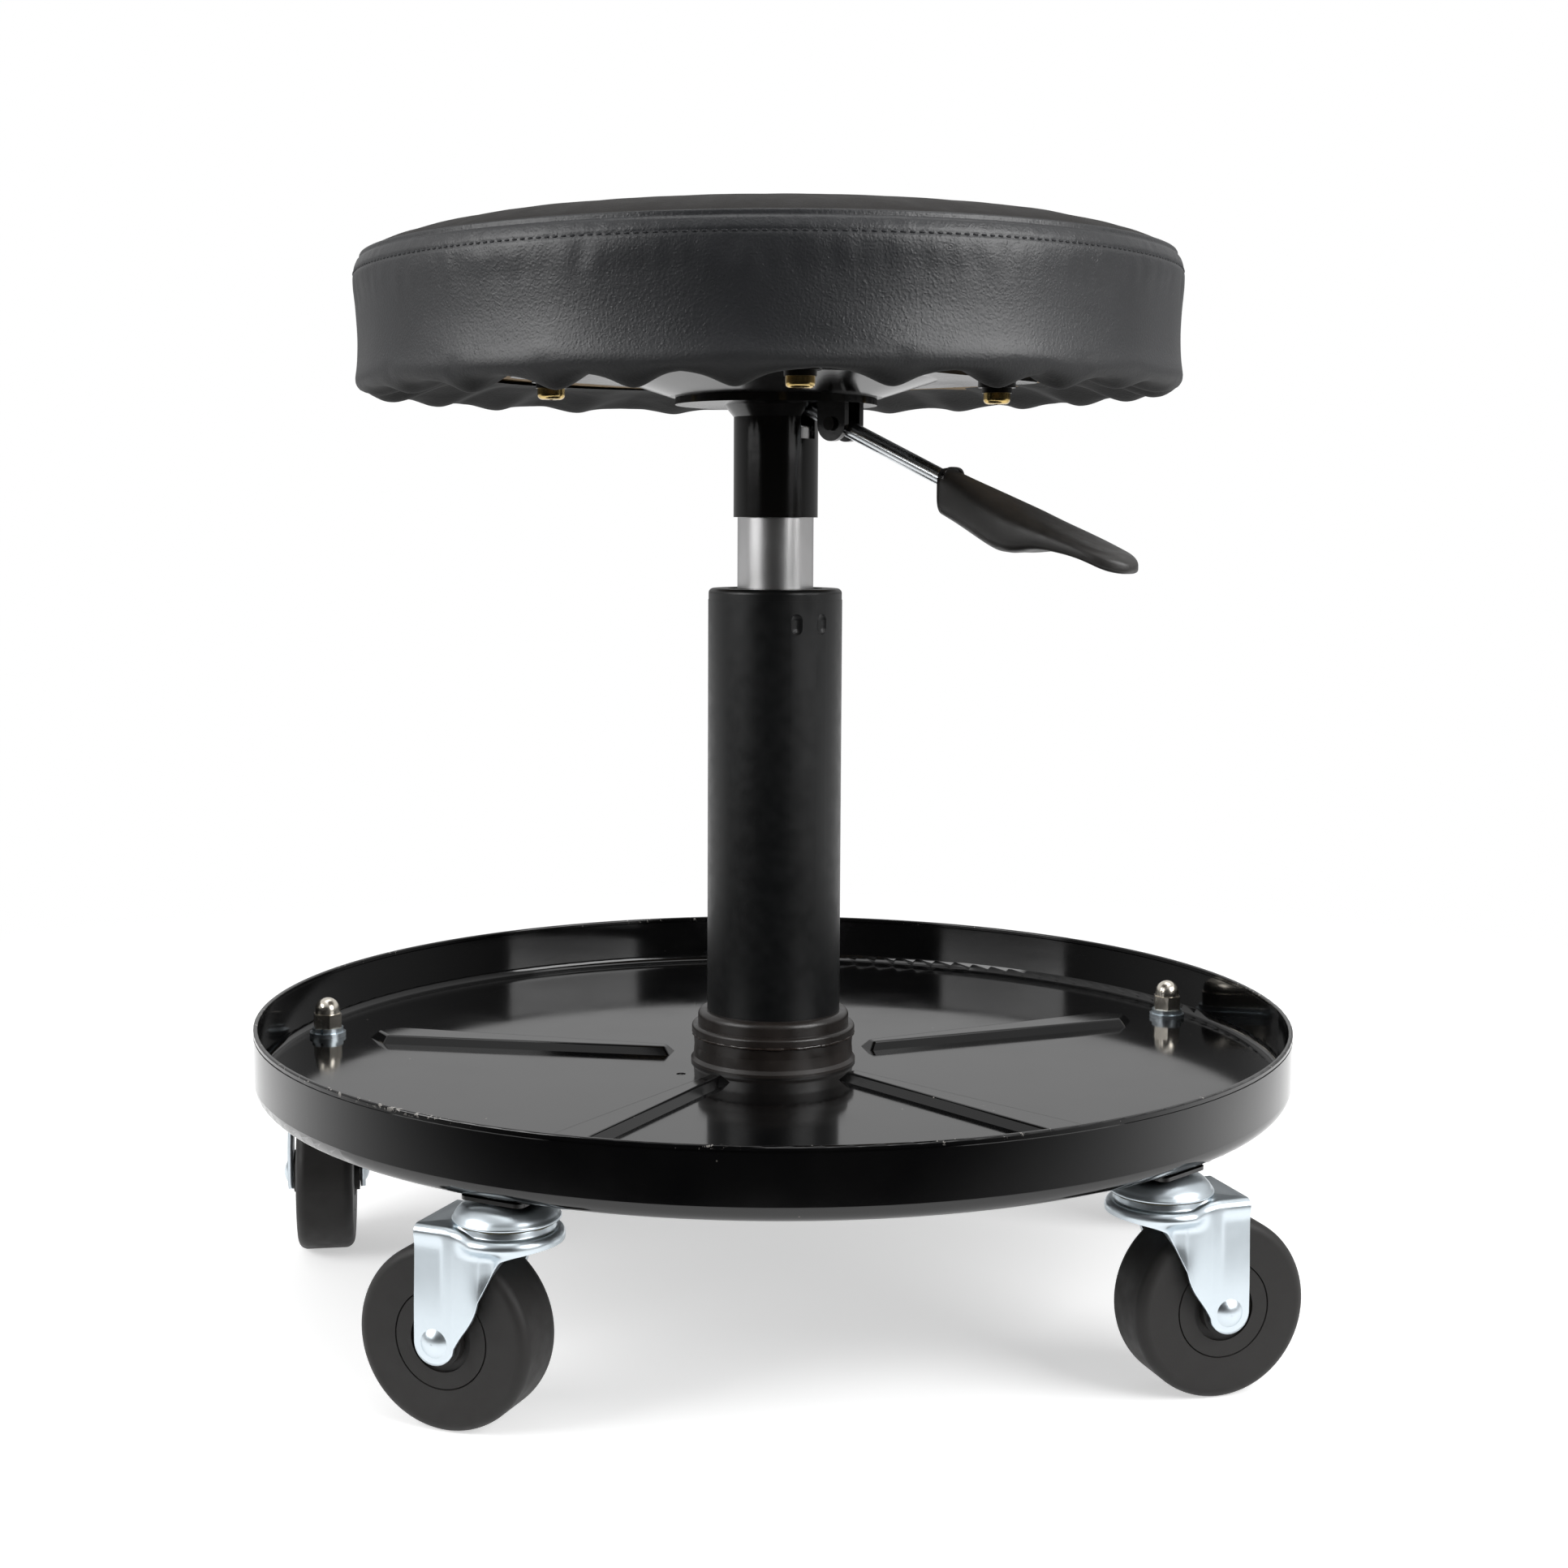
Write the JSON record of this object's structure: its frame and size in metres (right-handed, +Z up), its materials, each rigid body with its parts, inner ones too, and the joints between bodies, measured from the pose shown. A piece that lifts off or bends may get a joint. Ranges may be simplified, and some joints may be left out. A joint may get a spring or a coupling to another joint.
{
  "type": "mechanic stool",
  "caption": "Low rolling shop stool: round padded swivel seat on a gas-lift column with a release lever, over a round steel tool tray on swivel casters",
  "frame": {"origin": "on the floor, on the column's axis, at the centre of the tray and seat", "axes": "+Z up along the column, -Y towards the front from which the stool is seen, +X to the right; the release lever points to the right front"},
  "size_m": [0.3825, 0.3835, 0.3869],
  "materials": {
    "tray_enamel": "gloss black stoving enamel",
    "socket_enamel": "gloss black enamel over weld beads",
    "tube_satin_black": "satin black powder coat",
    "bracket_black": "gloss black paint",
    "plain_steel": "turned steel",
    "bearing_steel": "polished bearing steel",
    "bright_zinc": "bluish bright zinc plate",
    "yellow_zinc": "yellow zinc plate",
    "nickel": "polished nickel plate",
    "hard_chrome": "satin hard chrome",
    "black_plastic": "matt black moulding",
    "wheel_plastic": "charcoal moulded polyolefin",
    "pale_plastic": "natural nylon",
    "black_rubber": "plain black rubber",
    "brass": "turned brass",
    "plywood": "plain birch plywood",
    "seat_foam": "soft polyurethane foam",
    "seat_vinyl": "black grained vinyl with a soft sheen"
  },
  "bodies": {
    "base": {"tray": "tray_enamel", "post_socket": "socket_enamel", "outer_tube": "tube_satin_black", "tube_base": "plain_steel", "guide_bush": "black_plastic", "wiper_seal": "black_rubber", "race_lower": "plain_steel", "bearing_balls": "bearing_steel", "reinforcement_plates": "bracket_black", "stem_washers": "bright_zinc", "spring_washers": "bright_zinc", "acorn_nuts": "nickel", "caster_stems": "bright_zinc", "caster_cups": "bright_zinc", "caster_balls": "bearing_steel"},
    "lift_rod": {"piston_rod": "hard_chrome", "piston": "plain_steel", "race_upper": "plain_steel", "bump_stop": "black_rubber", "rod_washer": "plain_steel", "rod_clip": "plain_steel"},
    "seat": {"lift_cylinder": "hard_chrome", "rod_guide": "pale_plastic", "valve_body": "brass", "seat_tube": "bracket_black", "lever_bracket": "bracket_black", "seat_plate": "bracket_black", "seat_board": "plywood", "seat_foam": "seat_foam", "seat_cover": "seat_vinyl", "tee_nuts": "bright_zinc", "seat_bolts": "yellow_zinc", "seat_spring_washers": "bright_zinc", "seat_flat_washers": "bright_zinc", "lever_pin": "nickel"},
    "release_lever": {"lever_rod": "bright_zinc", "lever_grip": "black_plastic"},
    "release_valve": {"valve_button": "plain_steel"},
    "fork_right": {"caster_fork_right": "bright_zinc", "caster_axle_right": "bright_zinc", "caster_bush_right": "pale_plastic"},
    "wheel_right": {"caster_wheel_right": "wheel_plastic"},
    "fork_back": {"caster_fork_back": "bright_zinc", "caster_axle_back": "bright_zinc", "caster_bush_back": "pale_plastic"},
    "wheel_back": {"caster_wheel_back": "wheel_plastic"},
    "fork_left": {"caster_fork_left": "bright_zinc", "caster_axle_left": "bright_zinc", "caster_bush_left": "pale_plastic"},
    "wheel_left": {"caster_wheel_left": "wheel_plastic"},
    "fork_front_left": {"caster_fork_front_left": "bright_zinc", "caster_axle_front_left": "bright_zinc", "caster_bush_front_left": "pale_plastic"},
    "wheel_front_left": {"caster_wheel_front_left": "wheel_plastic"},
    "fork_front_right": {"caster_fork_front_right": "bright_zinc", "caster_axle_front_right": "bright_zinc", "caster_bush_front_right": "pale_plastic"},
    "wheel_front_right": {"caster_wheel_front_right": "wheel_plastic"}
  },
  "joints": [
    {"name": "seat_swivel", "type": "hinge", "parent": "base", "child": "lift_rod", "pos_m": [0, 0, 0.0665], "axis": [0, 0, 1], "continuous": true},
    {"name": "gas_lift", "type": "slide", "parent": "lift_rod", "child": "seat", "axis": [0, 0, 1], "range_m": [0, 0.12]},
    {"name": "lever_hinge", "type": "hinge", "parent": "seat", "child": "release_lever", "pos_m": [0.02339, -0.01847, 0.3138], "axis": [-0.6198, -0.7848, 0], "range_deg": [0, 8], "stiffness_Nm_per_rad": 0.6, "springref_deg": -5.73},
    {"name": "valve_push", "type": "slide", "parent": "seat", "child": "release_valve", "axis": [0, 0, 1], "range_m": [-0.0045, 0]},
    {"name": "swivel_right", "type": "hinge", "parent": "base", "child": "fork_right", "pos_m": [0.15954, 0.07781, 0.0661], "axis": [0, 0, 1], "continuous": true},
    {"name": "spin_right", "type": "hinge", "parent": "fork_right", "child": "wheel_right", "pos_m": [0.1565, 0.06058, 0.0295], "axis": [0.9848, -0.1736, 0], "continuous": true},
    {"name": "swivel_back", "type": "hinge", "parent": "base", "child": "fork_back", "pos_m": [-0.0247, 0.17577, 0.0661], "axis": [0, 0, 1], "continuous": true},
    {"name": "spin_back", "type": "hinge", "parent": "fork_back", "child": "wheel_back", "pos_m": [-0.04115, 0.16979, 0.0295], "axis": [0.342, -0.9397, 0], "continuous": true},
    {"name": "swivel_left", "type": "hinge", "parent": "base", "child": "fork_left", "pos_m": [-0.1748, 0.03082, 0.0661], "axis": [0, 0, 1], "continuous": true},
    {"name": "spin_left", "type": "hinge", "parent": "fork_left", "child": "wheel_left", "pos_m": [-0.17177, 0.01359, 0.0295], "axis": [0.9848, 0.1736, 0], "continuous": true},
    {"name": "swivel_front_left", "type": "hinge", "parent": "base", "child": "fork_front_left", "pos_m": [-0.07781, -0.15954, 0.0661], "axis": [0, 0, 1], "continuous": true},
    {"name": "spin_front_left", "type": "hinge", "parent": "fork_front_left", "child": "wheel_front_left", "pos_m": [-0.0942, -0.15341, 0.0295], "axis": [-0.3502, -0.9367, 0], "continuous": true},
    {"name": "swivel_front_right", "type": "hinge", "parent": "base", "child": "fork_front_right", "pos_m": [0.1266, -0.12441, 0.0661], "axis": [0, 0, 1], "continuous": true},
    {"name": "spin_front_right", "type": "hinge", "parent": "fork_front_right", "child": "wheel_front_right", "pos_m": [0.1432, -0.11886, 0.0295], "axis": [-0.3173, 0.9483, 0], "continuous": true}
  ],
  "couplings": [
    {"joint": "valve_push", "follows": "lever_hinge", "m_per_rad": -0.029}
  ]
}
